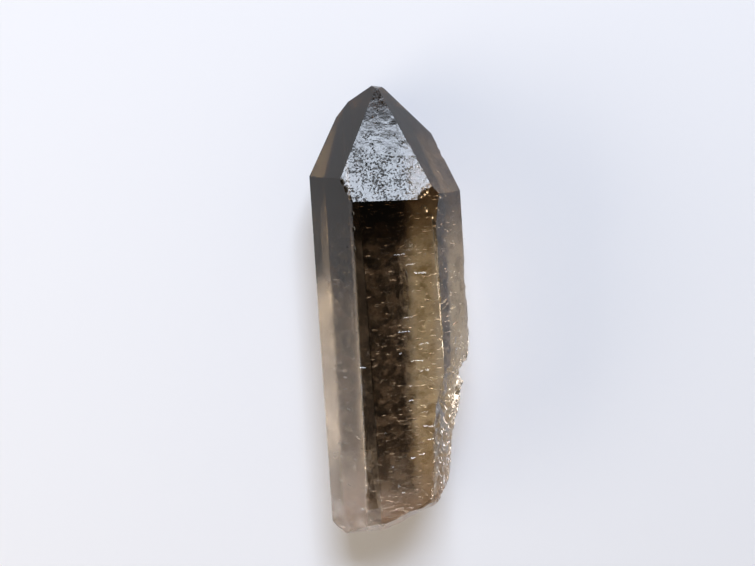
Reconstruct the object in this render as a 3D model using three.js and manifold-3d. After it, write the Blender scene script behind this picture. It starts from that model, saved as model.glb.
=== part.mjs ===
// Smoky quartz crystal: one six-sided point lying on a prism face, its tip along +Y.
// Millimetres, +Z up. The origin is under the middle of the crystal, on the surface it lies on.

import * as THREE from 'three';
import { mergeVertices } from 'three/addons/utils/BufferGeometryUtils.js';
import Module from 'manifold-3d';

const wasm = await Module();
wasm.setup();

// Driving dimensions
const HEART_HEIGHT = 7.3; // height of the long axis above the resting face
const BLOCK = [40, 90, 40]; // rough block that the faces are cut from
const SLAB = 120; // side of the cutting slab behind each face

// Each face: turn round the long axis from straight up towards +X, slope between the face's
// outward direction and the tip's direction, both in degrees, and reach from the heart.
const PRISM = {
  front: { turn: -1, slope: 89, reach: 7.25 },
  left: { turn: -57, slope: 89, reach: 7.5 },
  right: { turn: 56, slope: 88, reach: 9.25 },
  backLeft: { turn: -132.9, slope: 90.7, reach: 6.83 },
  backRight: { turn: 112, slope: 87, reach: 9.46 },
  rest: { turn: 180, slope: 90, reach: HEART_HEIGHT },
};
const POINT = {
  front: { turn: 0, slope: 52.5, reach: 16.4 },
  left: { turn: -62, slope: 50, reach: 18.5 },
  right: { turn: 63, slope: 51.8, reach: 17.8 },
  backLeft: { turn: -120, slope: 54.4, reach: 20.9 },
  backRight: { turn: 122, slope: 47.7, reach: 22.05 },
  rest: { turn: 176, slope: 51, reach: 21.5 },
};
const TIP_BLUNT = { turn: 60, slope: 12, reach: 29 };
const SHOULDER = { turn: 18, slope: 75, reach: 12.1 };

// The broken foot, and the flank that broke away above it
const FOOT = {
  end: { turn: 0, slope: 174, reach: 30.8 },
  top: { turn: 0, slope: 138, reach: 25 },
  topRight: { turn: 26, slope: 136, reach: 23.35 },
  leftCorner: { turn: -80, slope: 138, reach: 28.8 },
  rightCorner: { turn: 70, slope: 140, reach: 24 },
};
const FLANK = {
  shoulder: { turn: 104, slope: 98, reach: 10.49 },
  shoulderEnd: { turn: 104, slope: 14, reach: -7 },
  upper: { turn: 55, slope: 102, reach: 10.3 },
  lower: { turn: 66, slope: 92, reach: 8.1 },
  upperBack: { turn: 104, slope: 104, reach: 12.1 },
  lowerBack: { turn: 104, slope: 97.5, reach: 10.85 },
};

// Each break takes off what lies beyond all of its faces at once
const BREAKS = [
  ...Object.values(FOOT).map((face) => [face]),
  [FLANK.shoulder, FLANK.shoulderEnd],
  [FLANK.upper, FLANK.lower],
  [FLANK.upperBack, FLANK.lowerBack],
];

// Shell-like hollows left by the breaks: how many on a face, over which stretch of it along
// the axis and across, and their ball radius and depth as least and most
const HOLLOWS = [
  { face: FLANK.upper, count: 18, along: [-10, 0], across: [-3, 4], radius: [1.2, 3.2], depth: [0.1, 0.26] },
  { face: FLANK.lower, count: 26, along: [-24, -8], across: [-4, 3], radius: [1.6, 4], depth: [0.1, 0.35] },
  { face: FLANK.upperBack, count: 6, along: [-10, 1], across: [-3, 4], radius: [2, 4], depth: [0.06, 0.2] },
  { face: FLANK.lowerBack, count: 9, along: [-24, -9], across: [-3, 6], radius: [2, 5], depth: [0.1, 0.25] },
  { face: FOOT.end, count: 9, along: [-10, 3], across: [-8, 8], radius: [4, 9], depth: [0.2, 0.6] },
  { face: FOOT.top, count: 5, along: [-15, -11], across: [-6, 1], radius: [2, 4], depth: [0.1, 0.3] },
  { face: FOOT.topRight, count: 6, along: [-15, -11], across: [-4, 3], radius: [2, 4], depth: [0.1, 0.3] },
];
const HOLLOW_STRETCH = [0.5, 1]; // a hollow's breadth as a share of its length
const HOLLOW_LEAN = [0.3, 1.3]; // how far its length leans from the axis, in radians

// Chips along the edges between two faces, over a stretch of the axis
const CHIPS = [
  { edge: [POINT.front, PRISM.left], count: 7, along: [17.6, 20.6], radius: [0.3, 0.6], depth: [0.1, 0.25] },
  { edge: [PRISM.front, PRISM.left], count: 6, along: [11, 17.6], radius: [0.3, 0.8], depth: [0.06, 0.18] },
  { edge: [PRISM.front, PRISM.left], count: 9, along: [-25, 10], radius: [0.6, 1.4], depth: [0.04, 0.12] },
  { edge: [PRISM.front, PRISM.right], count: 9, along: [-3, 15], radius: [0.5, 1.3], depth: [0.05, 0.16] },
  { edge: [SHOULDER, POINT.front], count: 4, along: [17.6, 18.8], radius: [0.3, 0.6], depth: [0.1, 0.25] },
  { edge: [SHOULDER, PRISM.front], count: 4, along: [15.5, 17.5], radius: [0.3, 0.6], depth: [0.06, 0.2] },
  { edge: [PRISM.right, PRISM.backRight], count: 10, along: [-3, 16], radius: [1, 2.4], depth: [0.1, 0.3] },
  { edge: [POINT.right, PRISM.backRight], count: 2, along: [21, 22], radius: [0.8, 1.4], depth: [0.1, 0.3] },
  { edge: [PRISM.left, PRISM.backLeft], count: 12, along: [-28, 18], radius: [1, 2.2], depth: [0.03, 0.1] },
  { edge: [TIP_BLUNT, POINT.front], count: 4, along: [29, 30], radius: [0.3, 0.6], depth: [0.08, 0.2] },
];

// Three-sided growth pits on the bright face of the point, all turned the same way
const PITS = { face: POINT.front, count: 46, radius: [0.12, 0.42], depth: [0.05, 0.16] };
const PIT_SPREAD = { along: [10.2, 24], halfWidth: 0.34 };
const PIT_CHAIN = [[14.9, -2], [14.7, -1.5], [14.1, -1.6], [13.5, -1.2], [13, -0.8]];

// Short growth steps that run across the prism faces
const STEPS = [
  { face: PRISM.front, count: 34, along: [-24, 13], across: [-4, 4], length: [0.2, 1.3] },
  { face: PRISM.front, count: 30, along: [-22, 12], across: [1.2, 5], length: [0.3, 2] },
  { face: PRISM.right, count: 10, along: [0, 14], across: [-4, 2], length: [0.3, 1.6] },
  { face: PRISM.left, count: 6, along: [-24, 12], across: [-3, 4], length: [0.3, 1] },
];
const STEP_DEPTH = [0.04, 0.09];
const STEP_LEAN = [-0.09, 0.09]; // how far a step runs off square to the axis, in radians
const STEP_TILT = [0.55, 0.95]; // how far a step's sides are turned from the face, in radians

const ROUNDNESS = { hollow: 5, chip: 2 }; // subdivision of the cutting balls
const SEED = 20;

// Repeatable numbers between 0 and 1
function* numbers(seed) {
  let state = seed;
  for (;;) {
    state = (Math.imul(state, 1664525) + 1013904223) >>> 0;
    yield state / 4294967296;
  }
}
const source = numbers(SEED);
const between = ([least, most]) => least + (most - least) * source.next().value;

// A closed geometry as a solid that can be joined and cut
function solidOf(geometry) {
  const bare = geometry.index ? geometry.toNonIndexed() : geometry.clone();
  bare.deleteAttribute('normal');
  bare.deleteAttribute('uv');
  const merged = mergeVertices(bare, 1e-4);
  const mesh = new wasm.Mesh({
    numProp: 3,
    vertProperties: new Float32Array(merged.attributes.position.array),
    triVerts: new Uint32Array(merged.index.array),
  });
  return new wasm.Manifold(mesh);
}

const HEART = new THREE.Vector3(0, 0, HEART_HEIGHT);
const TIPWARD = new THREE.Vector3(0, 1, 0);

// Outward direction of a face from its turn and slope
function outward({ turn, slope }) {
  const around = THREE.MathUtils.degToRad(turn);
  const down = THREE.MathUtils.degToRad(slope);
  return new THREE.Vector3(
    Math.sin(around) * Math.sin(down),
    Math.cos(down),
    Math.cos(around) * Math.sin(down),
  );
}

// Axes of a face: across it, up it towards the tip, and out of it, with the point nearest the
// heart as their origin
function placing(face) {
  const out = outward(face);
  const up = TIPWARD.clone().addScaledVector(out, -TIPWARD.dot(out)).normalize();
  const across = up.clone().cross(out);
  const origin = HEART.clone().addScaledVector(out, face.reach);
  return new THREE.Matrix4().makeBasis(across, up, out).setPosition(origin);
}

// Everything beyond one face, as a thick slab
function beyond(face) {
  const slab = new THREE.BoxGeometry(SLAB, SLAB, SLAB);
  slab.translate(0, 0, SLAB / 2);
  return solidOf(slab.applyMatrix4(placing(face)));
}

// What lies beyond all the given faces at once
function waste(faces) {
  const [first, ...others] = faces.map(beyond);
  return others.reduce((kept, slab) => kept.intersect(slab), first);
}

// The point where two faces' edge passes a given place along the axis
function edgePoint(faceA, faceB, along) {
  const [a, b] = [faceA, faceB].map(outward);
  const rows = new THREE.Matrix3().set(a.x, a.y, a.z, b.x, b.y, b.z, 0, 1, 0);
  const reaches = new THREE.Vector3(faceA.reach + a.dot(HEART), faceB.reach + b.dot(HEART), along);
  return reaches.applyMatrix3(rows.invert());
}

// Stretched balls that bite into a broken face
function hollows({ face, count, along, across, radius, depth }) {
  return Array.from({ length: count }, () => {
    const size = between(radius);
    const bite = new THREE.IcosahedronGeometry(size, ROUNDNESS.hollow);
    bite.scale(between(HOLLOW_STRETCH), 1, 1);
    bite.rotateZ(between(HOLLOW_LEAN));
    bite.translate(between(across), between(along), size - between(depth));
    return solidOf(bite.applyMatrix4(placing(face)));
  });
}

// Small balls that bite into an edge
function chips({ edge, count, along, radius, depth }) {
  const out = outward(edge[0]).add(outward(edge[1])).normalize();
  return Array.from({ length: count }, () => {
    const size = between(radius);
    const bite = new THREE.IcosahedronGeometry(size, ROUNDNESS.chip);
    const centre = edgePoint(...edge, between(along)).addScaledVector(out, size - between(depth));
    return solidOf(bite.translate(centre.x, centre.y, centre.z));
  });
}

// A three-sided pit at a place on the pitted face
function pit(along, across) {
  const depth = between(PITS.depth);
  const shape = new THREE.ConeGeometry(between(PITS.radius), 2 * depth, 3);
  shape.rotateX(-Math.PI / 2);
  return solidOf(shape.translate(across, along, 0).applyMatrix4(placing(PITS.face)));
}

// Scattered pits, and the chain of larger ones that shows as a dark mark
function pits() {
  const scattered = Array.from({ length: PITS.count }, () => {
    const along = between(PIT_SPREAD.along);
    const room = PIT_SPREAD.halfWidth * (PIT_SPREAD.along[1] + 1 - along);
    return pit(along, between([-room, room]));
  });
  return [...scattered, ...PIT_CHAIN.map(([along, across]) => pit(along, across))];
}

// Sharp grooves for the growth steps
function steps({ face, count, along, across, length }) {
  return Array.from({ length: count }, () => {
    const side = 2 * between(STEP_DEPTH);
    const groove = new THREE.BoxGeometry(between(length), side, side);
    groove.rotateX(between(STEP_TILT));
    groove.rotateZ(between(STEP_LEAN));
    groove.translate(between(across), between(along), 0);
    return solidOf(groove.applyMatrix4(placing(face)));
  });
}

const block = new THREE.BoxGeometry(...BLOCK);
block.translate(HEART.x, HEART.y, HEART.z);
const faces = [...Object.values(PRISM), ...Object.values(POINT), TIP_BLUNT, SHOULDER];
const cutters = [
  ...faces.map((face) => beyond(face)),
  ...BREAKS.map(waste),
  ...HOLLOWS.flatMap(hollows),
  ...CHIPS.flatMap(chips),
  ...pits(),
  ...STEPS.flatMap(steps),
];
const crystal = cutters.reduce((solid, cutter) => solid.subtract(cutter), solidOf(block));

const cut = crystal.getMesh();
const geometry = new THREE.BufferGeometry();
geometry.setAttribute('position', new THREE.BufferAttribute(cut.vertProperties, 3));
geometry.setIndex(new THREE.BufferAttribute(cut.triVerts, 1));
geometry.computeBoundingBox();
const middle = geometry.boundingBox.getCenter(new THREE.Vector3());
geometry.translate(-middle.x, -middle.y, -geometry.boundingBox.min.z);

const quartz = new THREE.MeshStandardMaterial({ color: 0x4a4034, roughness: 0.12, metalness: 0 });
const mesh = new THREE.Mesh(geometry, quartz);
mesh.name = 'crystal';

const object = new THREE.Group();
object.add(mesh);

export default object;
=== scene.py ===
"""A smoky quartz crystal lying on a pale floor, seen from above with its tip away."""

import logging
import math
import random
from dataclasses import dataclass, field
from enum import Enum
from typing import Any

import bpy
from mathutils import Matrix, Vector


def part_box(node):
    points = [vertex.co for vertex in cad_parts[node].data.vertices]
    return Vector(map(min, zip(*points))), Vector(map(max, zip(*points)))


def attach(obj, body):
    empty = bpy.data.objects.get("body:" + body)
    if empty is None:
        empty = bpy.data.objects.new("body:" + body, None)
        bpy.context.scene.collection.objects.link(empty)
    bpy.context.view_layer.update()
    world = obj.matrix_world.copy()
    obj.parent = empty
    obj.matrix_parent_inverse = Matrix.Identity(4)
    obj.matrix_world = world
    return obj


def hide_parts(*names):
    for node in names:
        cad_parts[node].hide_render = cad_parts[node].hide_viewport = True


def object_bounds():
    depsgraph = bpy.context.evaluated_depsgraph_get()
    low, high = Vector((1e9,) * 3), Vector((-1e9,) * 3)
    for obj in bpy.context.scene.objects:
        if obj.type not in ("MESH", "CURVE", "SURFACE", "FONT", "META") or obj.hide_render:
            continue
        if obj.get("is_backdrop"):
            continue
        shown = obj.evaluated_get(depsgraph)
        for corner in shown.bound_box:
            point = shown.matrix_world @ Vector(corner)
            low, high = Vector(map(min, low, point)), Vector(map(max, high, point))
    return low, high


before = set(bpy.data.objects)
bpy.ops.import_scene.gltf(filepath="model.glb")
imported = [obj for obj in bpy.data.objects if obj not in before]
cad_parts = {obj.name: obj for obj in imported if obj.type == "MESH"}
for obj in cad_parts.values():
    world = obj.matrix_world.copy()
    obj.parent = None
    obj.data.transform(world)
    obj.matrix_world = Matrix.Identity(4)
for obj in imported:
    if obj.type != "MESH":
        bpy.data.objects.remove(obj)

log = logging.getLogger("quartz")

MM = 0.001
NODE = "crystal"
TIPWARD = Vector((0.0, 1.0, 0.0))
SAME_WAY = math.cos(math.radians(0.4))
WHITE = (1.0, 1.0, 1.0)

Colour = tuple[float, float, float]
Span = tuple[float, float]


class Value:
    """A socket of a node tree that Python's operators work on."""

    def __init__(self, graph: "Graph", socket: bpy.types.NodeSocket) -> None:
        """Keeps the socket and the graph it belongs to."""
        self.graph = graph
        self.socket = socket

    def _math(self, operation: str, first: Any, second: Any) -> "Value":
        """The result of a Math node on two values or numbers."""
        return self.graph.add("ShaderNodeMath", {"operation": operation}, {0: first, 1: second})

    def __add__(self, other: Any) -> "Value":
        """This value plus another."""
        return self._math("ADD", self, other)

    def __radd__(self, other: Any) -> "Value":
        """Another value plus this one."""
        return self._math("ADD", other, self)

    def __sub__(self, other: Any) -> "Value":
        """This value less another."""
        return self._math("SUBTRACT", self, other)

    def __rsub__(self, other: Any) -> "Value":
        """Another value less this one."""
        return self._math("SUBTRACT", other, self)

    def __mul__(self, other: Any) -> "Value":
        """This value times another."""
        return self._math("MULTIPLY", self, other)

    def __rmul__(self, other: Any) -> "Value":
        """Another value times this one."""
        return self._math("MULTIPLY", other, self)

    def larger(self, other: Any) -> "Value":
        """The larger of this value and another."""
        return self._math("MAXIMUM", self, other)


@dataclass(frozen=True)
class Grain:
    """A cloudy pattern: its scale, which is one over its features' size in mm, detail and roughness."""

    scale: float
    detail: float = 3.0
    roughness: float = 0.5


class Graph:
    """A node tree whose nodes all come from one method."""

    def __init__(self, tree: bpy.types.NodeTree) -> None:
        """Empties the tree."""
        self.tree = tree
        tree.nodes.clear()

    def node(self, kind: str, settings: dict[str, Any], inputs: dict[Any, Any]) -> bpy.types.Node:
        """Makes a node.

        Args:
            kind: The node's type.
            settings: Its properties, set first.
            inputs: The values or links of its sockets, by name or number.

        Returns:
            The node.
        """
        made = self.tree.nodes.new(kind)
        for name, setting in settings.items():
            setattr(made, name, setting)
        for name, given in inputs.items():
            socket = made.inputs[name]
            if isinstance(given, Value):
                self.tree.links.new(given.socket, socket)
            elif socket.type == "RGBA":
                socket.default_value = (*given, 1.0)
            else:
                socket.default_value = given
        return made

    def add(self, kind: str, settings: dict[str, Any], inputs: dict[Any, Any], out: Any = 0) -> Value:
        """Makes a node and gives one of its outputs as a value."""
        return Value(self, self.node(kind, settings, inputs).outputs[out])

    def mark(self, name: str) -> Value:
        """A mark of the mesh's faces, 0 or 1."""
        return self.add("ShaderNodeAttribute", {"attribute_name": name}, {}, "Fac")

    def rise(self, value: Value, span: Span) -> Value:
        """A smooth step from 0 at the start of a span to 1 at its end."""
        settings = {"interpolation_type": "SMOOTHSTEP"}
        return self.add("ShaderNodeMapRange", settings, {0: value, 1: span[0], 2: span[1]})

    def mix(self, share: Value, first: Any, second: Any, blend: str = "MIX") -> Value:
        """A colour between two, by share."""
        settings = {"data_type": "RGBA", "blend_type": blend}
        return self.add("ShaderNodeMix", settings, {0: share, 6: first, 7: second}, 2)

    def stain_and_shade(self, colour: Value, share: Value, stain_and_shade: Any) -> Value:
        """A colour times another, by share, for stains and for painted shade and light."""
        return self.mix(share, colour, stain_and_shade, "MULTIPLY")

    def noise(self, place: Value, grain: Grain, out: Any = 0) -> Value:
        """A cloudy pattern from 0 to 1."""
        size = {"Scale": grain.scale, "Detail": grain.detail, "Roughness": grain.roughness}
        return self.add("ShaderNodeTexNoise", {}, {"Vector": place, **size}, out)

    def cells(self, place: Value, scale: float) -> Value:
        """The distance to the nearest of scattered points."""
        return self.add("ShaderNodeTexVoronoi", {}, {"Vector": place, "Scale": scale}, "Distance")


def alone(piece: bpy.types.Object) -> None:
    """Makes a piece the only selected one, and active.

    Args:
        piece: The piece.
    """
    bpy.ops.object.select_all(action="DESELECT")
    piece.select_set(True)
    bpy.context.view_layer.objects.active = piece


def apply_modifiers(piece: bpy.types.Object) -> None:
    """Applies all of a piece's modifiers in order.

    Args:
        piece: The piece.
    """
    alone(piece)
    for modifier in list(piece.modifiers):
        bpy.ops.object.modifier_apply(modifier=modifier.name)


class Face(Enum):
    """A face of the crystal: its turn round the axis and its slope from the tip, in degrees."""

    BRIGHT = (0.0, 52.5)
    FOOT_END = (0.0, 174.0)
    FOOT_TOP = (0.0, 138.0)
    FOOT_TOP_RIGHT = (26.0, 136.0)
    FOOT_LEFT = (-80.0, 138.0)
    FOOT_RIGHT = (70.0, 140.0)
    FLANK_SHOULDER = (104.0, 98.0)
    FLANK_UPPER = (55.0, 102.0)
    FLANK_LOWER = (66.0, 92.0)
    FLANK_UPPER_BACK = (104.0, 104.0)
    FLANK_LOWER_BACK = (104.0, 97.5)

    @property
    def out(self) -> Vector:
        """Works out the direction that the face looks.

        Returns:
            The direction, of length 1.
        """
        turn, slope = (math.radians(angle) for angle in self.value)
        radial = Vector((math.sin(turn), 0.0, math.cos(turn)))
        return radial * math.sin(slope) + TIPWARD * math.cos(slope)


@dataclass
class Patch:
    """Where a face lies on the solid: its middle, its own axes and its size along them."""

    face: Face
    same_level: float = 0.02 * MM
    middle: Vector = field(init=False)
    turned: Matrix = field(init=False)
    size: Vector = field(init=False)

    def __post_init__(self) -> None:
        """Measures the solid's faces that lie in one plane and look the same way."""
        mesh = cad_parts[NODE].data
        out = self.face.out
        up = (TIPWARD - out * TIPWARD.dot(out)).normalized()
        self.turned = Matrix((up.cross(out), up, out)).transposed()
        found = [p for p in mesh.polygons if p.normal.dot(out) > SAME_WAY]
        reach = max(found, key=lambda polygon: polygon.area).center.dot(out)
        found = [p for p in found if abs(p.center.dot(out) - reach) < self.same_level]
        corners = [self.turned.transposed() @ mesh.vertices[v].co for p in found for v in p.vertices]
        low = Vector(map(min, *corners))
        high = Vector(map(max, *corners))
        self.size = high - low
        self.middle = self.turned @ ((low + high) / 2)


@dataclass(frozen=True)
class Hackle:
    """The roughness of a break: scoops with sharp ridges between them, and fine grit.

    Stretch is how much longer than broad the scoops are, and step is the mesh's step.
    """

    scoop: float
    scoop_depth: float
    grit: float
    grit_depth: float
    stretch: float
    step: float


FLANK_HACKLE = Hackle(
    scoop=0.8 * MM, scoop_depth=0.65 * MM, grit=0.3 * MM, grit_depth=0.12 * MM,
    stretch=1.25, step=0.15 * MM)
FOOT_HACKLE = Hackle(
    scoop=2.2 * MM, scoop_depth=0.35 * MM, grit=0.5 * MM, grit_depth=0.06 * MM,
    stretch=1.0, step=0.3 * MM)


@dataclass
class BrokenFace:
    """A rough cutter that follows a broken face, and ends at the face that it meets in a valley."""

    face: Face
    hackle: Hackle
    partner: Face | None = None
    bite: float = 0.1 * MM
    margin: float = 0.4 * MM
    thickness: float = 1.5 * MM
    fewest_steps: int = 2
    trim_merge: float = 1e-8

    def cutter(self) -> bpy.types.Object:
        """Models the cutter: a rough sheet on the face, thickened outwards.

        Returns:
            The cutter's object, at the origin.
        """
        patch = Patch(self.face)
        sheet = self._sheet(patch)
        self._roughen(sheet, "VORONOI", self.hackle.scoop, self.hackle.scoop_depth)
        self._roughen(sheet, "CLOUDS", self.hackle.grit, self.hackle.grit_depth)
        apply_modifiers(sheet)
        self._lay(sheet, patch)
        self._thicken()
        return sheet

    @staticmethod
    def _aside(patch: Patch) -> list[float]:
        """How far a sheet is moved for its roughness, so that no two faces get the same pattern."""
        return [part / MM for part in patch.middle.xy]

    def _sheet(self, patch: Patch) -> bpy.types.Object:
        """Makes a flat grid a little larger than the face, moved aside.

        Args:
            patch: Where the face lies.

        Returns:
            The grid's object.
        """
        size = patch.size.xy + Vector((2 * self.margin,) * 2)
        counts = [max(self.fewest_steps, round(side / self.hackle.step)) for side in size]
        bpy.ops.object.select_all(action="DESELECT")
        bpy.ops.mesh.primitive_grid_add(x_subdivisions=counts[0], y_subdivisions=counts[1], size=1.0)
        sheet = bpy.context.object
        sheet.name = "rough_" + self.face.name.lower()
        bpy.ops.object.mode_set(mode="EDIT")
        bpy.ops.transform.resize(value=(size.x, size.y / self.hackle.stretch, 1.0))
        bpy.ops.transform.translate(value=(*self._aside(patch), 0.0))
        bpy.ops.object.mode_set(mode="OBJECT")
        return sheet

    @staticmethod
    def _roughen(sheet: bpy.types.Object, kind: str, size: float, depth: float) -> None:
        """Adds a Displace modifier with a texture of one feature size.

        Args:
            sheet: The grid.
            kind: The texture's type.
            size: Its features' size.
            depth: How deep it goes.
        """
        texture = bpy.data.textures.new(sheet.name + kind.lower(), kind)
        texture.noise_scale = size
        displace = sheet.modifiers.new(kind.lower(), "DISPLACE")
        displace.texture = texture
        displace.texture_coords = "LOCAL"
        displace.direction = "Z"
        displace.strength = depth
        displace.mid_level = 0.5

    def _lay(self, sheet: bpy.types.Object, patch: Patch) -> None:
        """Stretches the rough sheet and lays it just under the face.

        Args:
            sheet: The rough sheet.
            patch: Where the face lies.
        """
        back = [-part for part in self._aside(patch)]
        stretched = (1.0, self.hackle.stretch, 1.0)
        bpy.ops.object.mode_set(mode="EDIT")
        bpy.ops.mesh.select_all(action="SELECT")
        bpy.ops.transform.translate(value=(*back, -self.bite))
        bpy.ops.transform.resize(value=stretched, center_override=(0.0, 0.0, 0.0))
        bpy.ops.object.mode_set(mode="OBJECT")
        sheet.matrix_world = Matrix.Translation(patch.middle) @ patch.turned.to_4x4()
        bpy.ops.object.transform_apply()

    def _thicken(self) -> None:
        """Extrudes the active sheet outwards, and cuts it off where the partner's break starts."""
        bpy.ops.object.mode_set(mode="EDIT")
        bpy.ops.mesh.select_all(action="SELECT")
        rise = self.face.out * self.thickness
        bpy.ops.mesh.extrude_region_move(TRANSFORM_OT_translate={"value": rise})
        bpy.ops.mesh.select_all(action="SELECT")
        bpy.ops.mesh.normals_make_consistent(inside=False)
        if self.partner:
            out = self.partner.out
            start = Patch(self.partner).middle + out * self.bite
            bpy.ops.mesh.bisect(
                plane_co=start, plane_no=out, use_fill=True, clear_inner=True, threshold=self.trim_merge)
        bpy.ops.object.mode_set(mode="OBJECT")


@dataclass(frozen=True)
class Veil:
    """A wide thin crack inside the crystal: its middle and half sizes in mm, and its lean in degrees."""

    middle: tuple[float, float, float]
    half: tuple[float, float, float]
    lean: tuple[float, float, float]
    rounds: int = 3

    def add(self) -> None:
        """Adds the veil, as a new object or to the mesh that is being edited."""
        bpy.ops.mesh.primitive_ico_sphere_add(
            subdivisions=self.rounds, radius=1.0, location=Vector(self.middle) * MM,
            rotation=[math.radians(angle) for angle in self.lean], scale=Vector(self.half) * MM)


@dataclass(frozen=True)
class Flake:
    """A kind of small flat crack: its reach, and its breadth and gap as shares of that.

    Lean holds the least and most turn about each axis, in radians.
    """

    reach: Span
    breadth: Span
    lean: tuple[Span, Span, Span]
    gap: float = 0.05

    def add(self, spot: Vector, draw: random.Random) -> None:
        """Adds one flake to the mesh that is being edited.

        Args:
            spot: Its middle.
            draw: The source of its size and lean.
        """
        reach = draw.uniform(*self.reach)
        breadth = draw.uniform(*self.breadth)
        lean = [draw.uniform(*angles) for angles in self.lean]
        bpy.ops.mesh.primitive_ico_sphere_add(
            subdivisions=1, radius=reach, location=spot, rotation=lean, scale=(1.0, breadth, self.gap))


DASH = Flake((0.1 * MM, 0.5 * MM), (0.12, 0.3), ((-0.2, 1.0), (-0.45, 0.45), (-0.15, 0.15)))
SPECK = Flake((0.04 * MM, 0.13 * MM), (0.3, 0.9), ((-1.2, 1.2), (-1.2, 1.2), (-1.2, 1.2)))


@dataclass
class Crystal:
    """The whole crystal: grown faces, rough breaks and inner cracks in one piece."""

    merge: float = 0.0005 * MM
    smooth_below: float = math.radians(14)
    breaks: tuple[BrokenFace, ...] = (
        BrokenFace(Face.FLANK_SHOULDER, FLANK_HACKLE),
        BrokenFace(Face.FLANK_UPPER, FLANK_HACKLE, Face.FLANK_LOWER),
        BrokenFace(Face.FLANK_LOWER, FLANK_HACKLE, Face.FLANK_UPPER),
        BrokenFace(Face.FLANK_UPPER_BACK, FLANK_HACKLE, Face.FLANK_LOWER_BACK),
        BrokenFace(Face.FLANK_LOWER_BACK, FLANK_HACKLE, Face.FLANK_UPPER_BACK),
        BrokenFace(Face.FOOT_END, FOOT_HACKLE),
        BrokenFace(Face.FOOT_TOP, FOOT_HACKLE),
        BrokenFace(Face.FOOT_TOP_RIGHT, FOOT_HACKLE),
        BrokenFace(Face.FOOT_LEFT, FOOT_HACKLE),
        BrokenFace(Face.FOOT_RIGHT, FOOT_HACKLE),
    )
    veils: tuple[Veil, ...] = (
        Veil((0.2, 7.0, 12.2), (1.5, 4.6, 0.02), (-8.0, 6.0, 0.0)),
        Veil((3.4, -5.4, 13.0), (1.5, 0.45, 0.02), (-24.0, 0.0, -37.0)),
        Veil((1.7, 13.0, 13.2), (0.45, 0.75, 0.02), (-20.0, 10.0, 20.0)),
        Veil((-3.9, -12.0, 13.2), (0.5, 2.2, 0.02), (-18.0, -14.0, -6.0)),
        Veil((3.4, -15.0, 12.8), (1.3, 2.6, 0.02), (-14.0, 16.0, 10.0)),
    )
    veil_waves: float = 0.04 * MM
    flakes: int = 1500
    dashes: float = 0.75
    flake_cover: float = 1.0 * MM
    seed: int = 7

    def build(self) -> bpy.types.Object:
        """Models the crystal.

        Returns:
            The crystal's object, at the origin.
        """
        piece = self._grown()
        for broken in self.breaks:
            self._cut(piece, broken.cutter())
            log.info("%s cut, %d faces", broken.face.name, len(piece.data.polygons))
        self._mark(piece)
        self._crack(piece)
        return piece

    def _grown(self) -> bpy.types.Object:
        """Makes a merged copy of the solid, with a first material slot for grown faces.

        Returns:
            The copy.
        """
        piece = bpy.data.objects.new("quartz_point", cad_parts[NODE].data.copy())
        bpy.context.scene.collection.objects.link(piece)
        alone(piece)
        bpy.ops.mesh.customdata_custom_splitnormals_clear()
        bpy.ops.object.mode_set(mode="EDIT")
        bpy.ops.mesh.select_all(action="SELECT")
        bpy.ops.mesh.remove_doubles(threshold=self.merge)
        bpy.ops.mesh.dissolve_degenerate(threshold=self.merge)
        bpy.ops.object.mode_set(mode="OBJECT")
        piece.data.materials.clear()
        piece.data.materials.append(bpy.data.materials.new("grown"))
        return piece

    @staticmethod
    def _cut(piece: bpy.types.Object, cutter: bpy.types.Object) -> None:
        """Takes a cutter's shape off the piece, whose new faces get the slot of broken faces.

        Args:
            piece: The crystal.
            cutter: The closed cutter, which is removed.
        """
        broken = bpy.data.materials.get("broken") or bpy.data.materials.new("broken")
        cutter.data.materials.append(broken)
        boolean = piece.modifiers.new("cut", "BOOLEAN")
        boolean.operation = "DIFFERENCE"
        boolean.solver = "MANIFOLD"
        boolean.material_mode = "TRANSFER"
        boolean.object = cutter
        apply_modifiers(piece)
        bpy.data.objects.remove(cutter)

    def _mark(self, piece: bpy.types.Object) -> None:
        """Shades the piece and marks its broken faces and its bright face in attributes.

        Args:
            piece: The crystal, whose slots are cleared.
        """
        mesh = piece.data
        slots = [slot.name for slot in mesh.materials]
        marks = {
            "broken": [slots[p.material_index] == "broken" for p in mesh.polygons],
            "bright": [p.normal.dot(Face.BRIGHT.out) > SAME_WAY for p in mesh.polygons],
        }
        alone(piece)
        bpy.ops.object.shade_smooth_by_angle(angle=self.smooth_below)
        for name, marked in marks.items():
            attribute = mesh.attributes.new(name, "FLOAT", "FACE")
            attribute.data.foreach_set("value", [float(mark) for mark in marked])
        mesh.materials.clear()
        mesh.polygons.foreach_set("material_index", [0] * len(mesh.polygons))

    def _crack(self, piece: bpy.types.Object) -> None:
        """Adds thin flat voids inside the crystal: a few veils, level dashes and loose specks.

        Args:
            piece: The crystal.
        """
        bpy.ops.object.select_all(action="DESELECT")
        self.veils[0].add()
        voids = bpy.context.object
        bpy.ops.object.transform_apply()
        bpy.ops.object.mode_set(mode="EDIT")
        for veil in self.veils[1:]:
            veil.add()
        bpy.ops.mesh.select_all(action="SELECT")
        bpy.ops.transform.vertex_random(offset=self.veil_waves, seed=self.seed)
        self._scatter(piece)
        bpy.ops.mesh.select_all(action="SELECT")
        bpy.ops.mesh.normals_make_consistent(inside=True)
        bpy.ops.object.mode_set(mode="OBJECT")
        inner = voids.data.attributes.new("inner", "FLOAT", "FACE")
        inner.data.foreach_set("value", [1.0] * len(voids.data.polygons))
        alone(piece)
        voids.select_set(True)
        bpy.ops.object.join()
        log.info("%d veils and %d flakes", len(self.veils), self.flakes)

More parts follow.
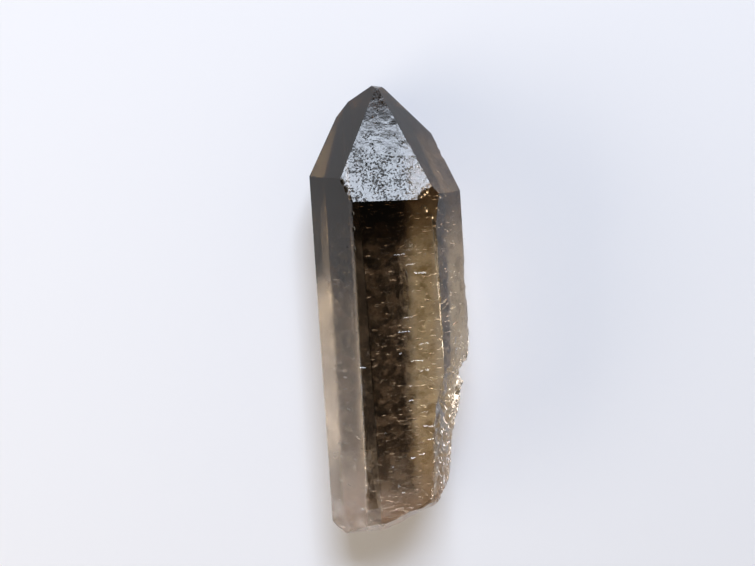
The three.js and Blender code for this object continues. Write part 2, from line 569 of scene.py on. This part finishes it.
    def _scatter(self, piece: bpy.types.Object) -> None:
        """Scatters flakes well inside the crystal, in the mesh that is being edited.

        Args:
            piece: The crystal.
        """
        low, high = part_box(NODE)
        draw = random.Random(self.seed)
        made = 0
        while made < self.flakes:
            spot = Vector(draw.uniform(a, b) for a, b in zip(low, high))
            _, nearest, outward, _ = piece.closest_point_on_mesh(spot)
            if (nearest - spot).dot(outward) < self.flake_cover:
                continue
            kind = DASH if draw.random() < self.dashes else SPECK
            kind.add(spot, draw)
            made += 1


class Spot:
    """A point of the surface: its place in mm, and its parts across and along the crystal."""

    def __init__(self, graph: Graph) -> None:
        """Reads the place from the piece's own coordinates."""
        metres = graph.add("ShaderNodeTexCoord", {}, {}, "Object")
        self.place = graph.add("ShaderNodeVectorMath", {"operation": "SCALE"}, {0: metres, "Scale": 1 / MM})
        axes = graph.node("ShaderNodeSeparateXYZ", {}, {0: self.place})
        self.across = Value(graph, axes.outputs["X"])
        self.along = Value(graph, axes.outputs["Y"])


@dataclass(frozen=True)
class SmokeAndPaintedLight:
    """The tint of the light that passes the surface, in zones across and along the crystal.

    Some zones are the quartz's own smoky colour and the heart is partly painted shade; the dark line, the
    heart's upper part and the left face are painted shade, and the gold and olive band is painted light.

    A zone's span gives where it is empty and where it is full, in mm, and its drift is how far the clouds
    move that.
    """

    clear: Colour = (0.99, 0.98, 0.96)
    smoke: Colour = (0.38, 0.31, 0.24)
    dark: Colour = (0.1, 0.078, 0.058)
    # Painted light: gold and olive colour the band where side light shows through the quartz.
    gold: Colour = (1.0, 0.93, 0.74)
    olive: Colour = (0.56, 0.47, 0.31)
    foot: Colour = (0.88, 0.81, 0.74)
    rim: Colour = (0.8, 0.73, 0.66)
    # Painted shade for the dark line along the heart's left side.
    shade_line: Colour = (0.025, 0.02, 0.016)
    # Painted shade for the left face and its peak.
    shade: Colour = (0.09, 0.08, 0.055)
    # Painted shade for the middle of the left face.
    strip_shade: Colour = (0.66, 0.61, 0.52)

    clouds: Grain = Grain(0.35)
    mottle: Grain = Grain(0.55, 4.0, 0.55)
    fine_mottle: Grain = Grain(1.7, 4.0, 0.65)
    fine_share: float = 0.45
    middle: float = 0.5
    smoky: Span = (0.42, 0.6)
    golden: Span = (0.34, 0.58)

    # The heart: darker smoky colour, partly painted shade.
    heart_left: Span = (-5.2, -4.8)
    heart_right: Span = (2.5, 1.1)
    # Where the painted lit band lies.
    lit_band_left: Span = (1.1, 2.5)
    lit_band_right: Span = (6.4, 5.4)
    side_drift: float = 1.2
    lit_band_foot: Span = (-29.0, -21.0)
    core_foot: Span = (-27.0, -19.0)
    core_drift: float = 8.0
    # Where painted shade darkens the heart's upper part.
    window: Span = (13.0, 14.2)
    window_drift: float = 1.2

    # Where the painted shade line lies.
    shade_line_edge: Span = (-3.46, -3.62)
    shade_line_lean: float = 0.0185
    shade_line_foot: Span = (-33.0, -9.0)

    foot_front: Span = (-5.6, -4.8)
    foot_start: Span = (-14.0, -20.0)
    foot_drift: float = 6.0
    foot_end: Span = (-25.0, -28.0)
    foot_rim: Span = (-27.6, -29.5)

    # Where painted shade lies on the left face and its peak.
    left_face: Span = (-5.0, -5.4)
    shade_start: Span = (5.0, 9.5)
    shade_drift: float = 3.0
    strip_shade_start: Span = (-13.0, 2.0)
    strip_shade_drift: float = 6.0
    peak_left: Span = (-4.0, -6.0)
    peak_start: Span = (15.0, 19.0)

    point_start: Span = (9.0, 17.0)
    point_drift: float = 5.0
    tip_start: Span = (20.0, 27.0)

    def tint(self, graph: Graph, spot: Spot) -> Value:
        """Mixes the whole tint.

        Args:
            graph: The material's graph.
            spot: The point of the surface.

        Returns:
            The tint.
        """
        clouds = graph.noise(spot.place, self.clouds) - self.middle
        fine = graph.noise(spot.place, self.fine_mottle) - self.middle
        mottle = graph.noise(spot.place, self.mottle) + self.fine_share * fine
        drifted = spot.across + clouds * self.side_drift
        heart = graph.rise(spot.across, self.heart_left) * graph.rise(drifted, self.heart_right)
        # The heart's core: smoky colour, partly painted shade of the shadowed floor seen through the
        # quartz.
        core = heart * graph.rise(spot.along + clouds * self.core_drift, self.core_foot)
        smoke_and_shade = graph.mix(graph.rise(mottle, self.smoky), self.dark, self.smoke)
        tint = graph.mix(core, self._foot(graph, spot, clouds), smoke_and_shade)
        # Painted shade: a dark line along the heart's left side.
        edge = graph.rise(spot.across + spot.along * self.shade_line_lean, self.shade_line_edge)
        shade_line = heart * edge * graph.rise(spot.along, self.shade_line_foot)
        tint = graph.stain_and_shade(tint, shade_line, self.shade_line)
        # Painted shade on the left face.
        tint = self._left(graph, spot, clouds, tint)
        # Painted light: a gold and olive band where side light shows through the quartz.
        lit_band = graph.rise(drifted, self.lit_band_left) * graph.rise(spot.across, self.lit_band_right)
        gold = graph.mix(graph.rise(mottle, self.golden), self.olive, self.gold)
        tint = graph.stain_and_shade(tint, lit_band * graph.rise(spot.along, self.lit_band_foot), gold)
        # Painted shade: the heart's upper part darkened.
        window = heart * graph.rise(spot.along + clouds * self.window_drift, self.window)
        tint = graph.stain_and_shade(tint, window, self.dark)
        point = graph.rise(spot.along + clouds * self.point_drift, self.point_start)
        tint = graph.stain_and_shade(tint, point, self.smoke)
        return graph.stain_and_shade(tint, graph.rise(spot.along, self.tip_start), self.dark)

    def _foot(self, graph: Graph, spot: Spot, clouds: Value) -> Value:
        """Mixes the clear quartz of the body and the duller foot.

        Args:
            graph: The material's graph.
            spot: The point of the surface.
            clouds: The clouds that move the zones.

        Returns:
            The tint.
        """
        start = graph.rise(spot.along + clouds * self.foot_drift, self.foot_start)
        tint = graph.mix(start * graph.rise(spot.across, self.foot_front), self.clear, self.foot)
        tint = graph.stain_and_shade(tint, graph.rise(spot.along, self.foot_end), self.foot)
        return graph.stain_and_shade(tint, graph.rise(spot.along, self.foot_rim), self.rim)

    def _left(self, graph: Graph, spot: Spot, clouds: Value, tint: Value) -> Value:
        """Darkens the left face with painted shade, more towards the point.

        Args:
            graph: The material's graph.
            spot: The point of the surface.
            clouds: The clouds that move the zones.
            tint: The tint so far.

        Returns:
            The tint with the painted shade.
        """
        left = graph.rise(spot.across, self.left_face)
        # Painted shade: the upper left face, its middle and its peak are darkened.
        shade = left * graph.rise(spot.along + clouds * self.shade_drift, self.shade_start)
        tint = graph.stain_and_shade(tint, shade, self.shade)
        strip_shade = left * graph.rise(spot.along + clouds * self.strip_shade_drift, self.strip_shade_start)
        tint = graph.stain_and_shade(tint, strip_shade, self.strip_shade)
        peak = graph.rise(spot.across, self.peak_left) * graph.rise(spot.along, self.peak_start)
        return graph.stain_and_shade(tint, peak, self.shade)


@dataclass(frozen=True)
class Etching:
    """The gloss and the small relief: specks, pits and waves on the bright face, chips by the flank.

    Spans along and across the crystal are in mm, and heights are shares of the relief's depth.
    """

    patches: Grain = Grain(0.45, 2.0)
    speckle: Grain = Grain(3.6, 4.0, 0.7)
    ragged: Grain = Grain(1.5, 4.0)
    waves: Grain = Grain(0.9)
    pit_scale: float = 0.75
    pit_shift: float = 2.4
    chip_scale: float = 1.2

    bright_lower: Span = (27.0, 20.0)
    patch_share: float = 0.3
    speck_lower: float = 0.075
    speck_level: Span = (0.765, 0.82)
    pit_speckle: float = 0.5
    pit_lower: float = 0.14
    pit_level: Span = (0.5, 0.42)

    flank_across: Span = (6.6, 7.6)
    flank_upper: Span = (6.5, 1.5)
    flank_drift: float = 7.0
    flank_lower: Span = (-24.0, -20.0)
    frost_across: Span = (-5.0, -5.4)
    frost_along: Span = (10.0, 5.0)

    polish: float = 0.03
    broken_rough: float = 0.12
    frost_rough: float = 0.22
    inner_rough: float = 0.1
    bright_rough: float = 0.01
    patch_rough: float = 0.14
    speck_rough: float = 0.35

    wave_height: float = 1.0
    wave_lower: float = 1.6
    chip_height: float = 8.0
    depth: float = 0.02 * MM

    def dress(self, graph: Graph, spot: Spot) -> tuple[Value, Value]:
        """Works out the gloss and the relief.

        Args:
            graph: The material's graph.
            spot: The point of the surface.

        Returns:
            The roughness and the normal.
        """
        bright = graph.mark("bright")
        patches = graph.noise(spot.place, self.patches)
        lower = graph.rise(spot.along, self.bright_lower)
        specks = self._specks(graph, spot, patches, lower)
        frost = graph.rise(spot.across, self.frost_across) * graph.rise(spot.along, self.frost_along)
        roughness = self.polish + graph.mark("broken") * self.broken_rough
        roughness = roughness + frost * self.frost_rough + graph.mark("inner") * self.inner_rough
        etched = self.bright_rough + self.patch_rough * patches + self.speck_rough * specks
        swell = graph.noise(spot.place, self.waves) * (self.wave_height + self.wave_lower * lower)
        flank = graph.rise(spot.across, self.flank_across)
        flank = flank * graph.rise(spot.along + patches * self.flank_drift, self.flank_upper)
        flank = flank * graph.rise(spot.along, self.flank_lower)
        chips = graph.cells(spot.place, self.chip_scale)
        height = bright * (swell - specks) + flank * chips * self.chip_height
        relief = {"Height": height, "Strength": 1.0, "Distance": self.depth}
        return roughness + bright * etched, graph.add("ShaderNodeBump", {}, relief)

    def _specks(self, graph: Graph, spot: Spot, patches: Value, lower: Value) -> Value:
        """Marks fine specks and ragged pits, more of them on the bright face's lower part.

        Args:
            graph: The material's graph.
            spot: The point of the surface.
            patches: The broad patches that they gather in.
            lower: The share of the bright face's lower part.

        Returns:
            The marks, from 0 to 1.
        """
        speckle = graph.noise(spot.place, self.speckle)
        crowd = speckle + patches * self.patch_share + lower * self.speck_lower
        specks = graph.rise(crowd, self.speck_level)
        shift = graph.noise(spot.place, self.ragged, "Color")
        warp = {0: shift, 1: (self.pit_shift,) * 3, 2: spot.place}
        warped = graph.add("ShaderNodeVectorMath", {"operation": "MULTIPLY_ADD"}, warp)
        pits = graph.cells(warped, self.pit_scale) + speckle * self.pit_speckle
        pits = pits + patches * self.patch_share - lower * self.pit_lower
        return specks.larger(graph.rise(pits, self.pit_level))


@dataclass(frozen=True)
class SmokyQuartz:
    """The crystal's finish: clear brown quartz, darker at the tip, pale at the foot, with a heart darkened
    partly by painted shade, more painted shade and a painted lit band.
    """

    ior: float = 1.544
    absorption: Colour = (0.5, 0.27, 0.02)
    density: float = 17.0
    gloss: Colour = (0.55, 0.5, 0.43)
    smoke: SmokeAndPaintedLight = SmokeAndPaintedLight()
    etching: Etching = Etching()

    def material(self) -> bpy.types.Material:
        """Makes the material.

        Returns:
            The material, with its volume.
        """
        made = bpy.data.materials.new("smoky_quartz")
        made.use_nodes = True
        graph = Graph(made.node_tree)
        spot = Spot(graph)
        roughness, normal = self.etching.dress(graph, spot)
        surface = graph.add("ShaderNodeBsdfPrincipled", {}, {
            "Base Color": graph.mix(graph.mark("inner"), self.smoke.tint(graph, spot), WHITE),
            "Roughness": roughness,
            "IOR": self.ior,
            "Specular Tint": self.gloss,
            "Transmission Weight": 1.0,
            "Normal": normal,
        })
        depth = {"Color": self.absorption, "Density": self.density}
        volume = graph.add("ShaderNodeVolumeAbsorption", {}, depth)
        graph.node("ShaderNodeOutputMaterial", {}, {"Surface": surface, "Volume": volume})
        return made


@dataclass
class Floor:
    """The plain pale floor."""

    side: float = 4.0
    gap: float = 0.05 * MM
    colour: Colour = (0.87, 0.805, 0.735)
    roughness: float = 0.9
    sheen_level: float = 0.2

    def build(self) -> None:
        """Lays the floor just under the crystal."""
        bpy.ops.object.select_all(action="DESELECT")
        bpy.ops.mesh.primitive_plane_add(size=self.side, location=(0.0, 0.0, -self.gap))
        plane = bpy.context.object
        plane.name = "floor"
        made = bpy.data.materials.new("pale_floor")
        made.use_nodes = True
        graph = Graph(made.node_tree)
        surface = graph.add("ShaderNodeBsdfPrincipled", {}, {
            "Base Color": self.colour, "Roughness": self.roughness, "Specular IOR Level": self.sheen_level})
        graph.node("ShaderNodeOutputMaterial", {}, {"Surface": surface})
        plane.data.materials.append(made)
        plane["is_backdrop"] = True


@dataclass(frozen=True)
class SoftLight:
    """A rectangular soft light that looks at the crystal, placed by its angles in degrees."""

    name: str
    azimuth: float
    elevation: float
    distance: float
    size: tuple[float, float]
    radiance: float
    colour: Colour
    on_floor: bool = True

    def build(self, target: Vector) -> None:
        """Hangs the light so that it looks at the target.

        Args:
            target: The middle of the crystal.
        """
        data = bpy.data.lights.new(self.name, "AREA")
        data.shape = "RECTANGLE"
        data.size, data.size_y = self.size
        data.energy = self.radiance * math.pi * self.size[0] * self.size[1]
        data.color = self.colour
        lamp = bpy.data.objects.new(self.name, data)
        bpy.context.scene.collection.objects.link(lamp)
        lamp.visible_diffuse = self.on_floor
        level = math.cos(math.radians(self.elevation))
        towards = Vector((
            math.sin(math.radians(self.azimuth)) * level,
            math.cos(math.radians(self.azimuth)) * level,
            math.sin(math.radians(self.elevation)),
        ))
        lamp.location = target + towards * self.distance
        lamp.rotation_mode = "QUATERNION"
        lamp.rotation_quaternion = towards.to_track_quat("Z", "Y")


@dataclass
class Studio:
    """The soft light round the crystal: a window beyond the tip, a fill, a side light and a horizon."""

    lights: tuple[SoftLight, ...] = (
        SoftLight(
            "window", azimuth=4.0, elevation=33.0, distance=1.0, size=(0.5, 0.34),
            radiance=32.5, colour=(0.62, 0.75, 1.0)),
        SoftLight(
            "fill", azimuth=200.0, elevation=30.0, distance=0.22, size=(0.3, 0.12),
            radiance=4.2, colour=(1.0, 0.98, 0.95), on_floor=False),
        SoftLight(
            "side", azimuth=-98.0, elevation=20.0, distance=0.5, size=(0.5, 0.22),
            radiance=4.2, colour=(1.0, 0.95, 0.88)),
    )
    horizon: float = 0.58
    overhead: float = 0.08
    horizon_colour: Colour = (1.0, 0.92, 0.82)
    fades: Span = (14.0, 58.0)
    bounces: int = 24
    glossy_bounces: int = 12

    def build(self) -> None:
        """Lights the scene, with enough bounces for light to find its way through the quartz."""
        low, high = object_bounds()
        for light in self.lights:
            light.build((low + high) / 2)
        self._sky()
        cycles = bpy.context.scene.cycles
        cycles.max_bounces = self.bounces
        cycles.transmission_bounces = self.bounces
        cycles.glossy_bounces = self.glossy_bounces

    def _sky(self) -> None:
        """Makes the world: a pale horizon that fades to a dim sky overhead."""
        world = bpy.data.worlds.new("studio")
        bpy.context.scene.world = world
        world.use_nodes = True
        graph = Graph(world.node_tree)
        towards = graph.add("ShaderNodeTexCoord", {}, {}, "Generated")
        height = graph.add("ShaderNodeSeparateXYZ", {}, {0: towards}, "Z")
        faded = graph.rise(height, tuple(math.sin(math.radians(angle)) for angle in self.fades))
        strength = self.horizon - (self.horizon - self.overhead) * faded
        sky = {"Color": self.horizon_colour, "Strength": strength}
        back = graph.add("ShaderNodeBackground", {}, sky)
        graph.node("ShaderNodeOutputWorld", {}, {"Surface": back})


@dataclass
class Viewpoint:
    """The camera: its lens, where it stands in mm, and its own axes."""

    lens: float = 40.0
    sensor: float = 36.0
    nearest: float = 1.0 * MM
    stand: tuple[float, float, float] = (-8.18, 42.85, 110.33)
    right: tuple[float, float, float] = (0.99601, -0.04494, 0.07707)
    up: tuple[float, float, float] = (0.06813, 0.94083, -0.33196)
    view_transform: str = "Standard"

    def build(self) -> None:
        """Sets the camera up, and how its picture is shown."""
        data = bpy.data.cameras.new("camera")
        data.lens = self.lens
        data.sensor_width = self.sensor
        data.clip_start = self.nearest
        camera = bpy.data.objects.new("camera", data)
        scene = bpy.context.scene
        scene.collection.objects.link(camera)
        right, up = Vector(self.right), Vector(self.up)
        place = Matrix((right, up, right.cross(up))).transposed().to_4x4()
        place.translation = Vector(self.stand) * MM
        camera.matrix_world = place
        scene.camera = camera
        scene.view_settings.view_transform = self.view_transform


def main() -> None:
    """Builds the crystal and its stage."""
    logging.basicConfig(level=logging.INFO)
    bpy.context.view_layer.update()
    piece = Crystal().build()
    piece.data.materials.append(SmokyQuartz().material())
    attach(piece, "root")
    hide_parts(NODE)
    log.info("%s has %d faces", piece.name, len(piece.data.polygons))
    Floor().build()
    Studio().build()
    Viewpoint().build()


if __name__ == "__main__":
    main()
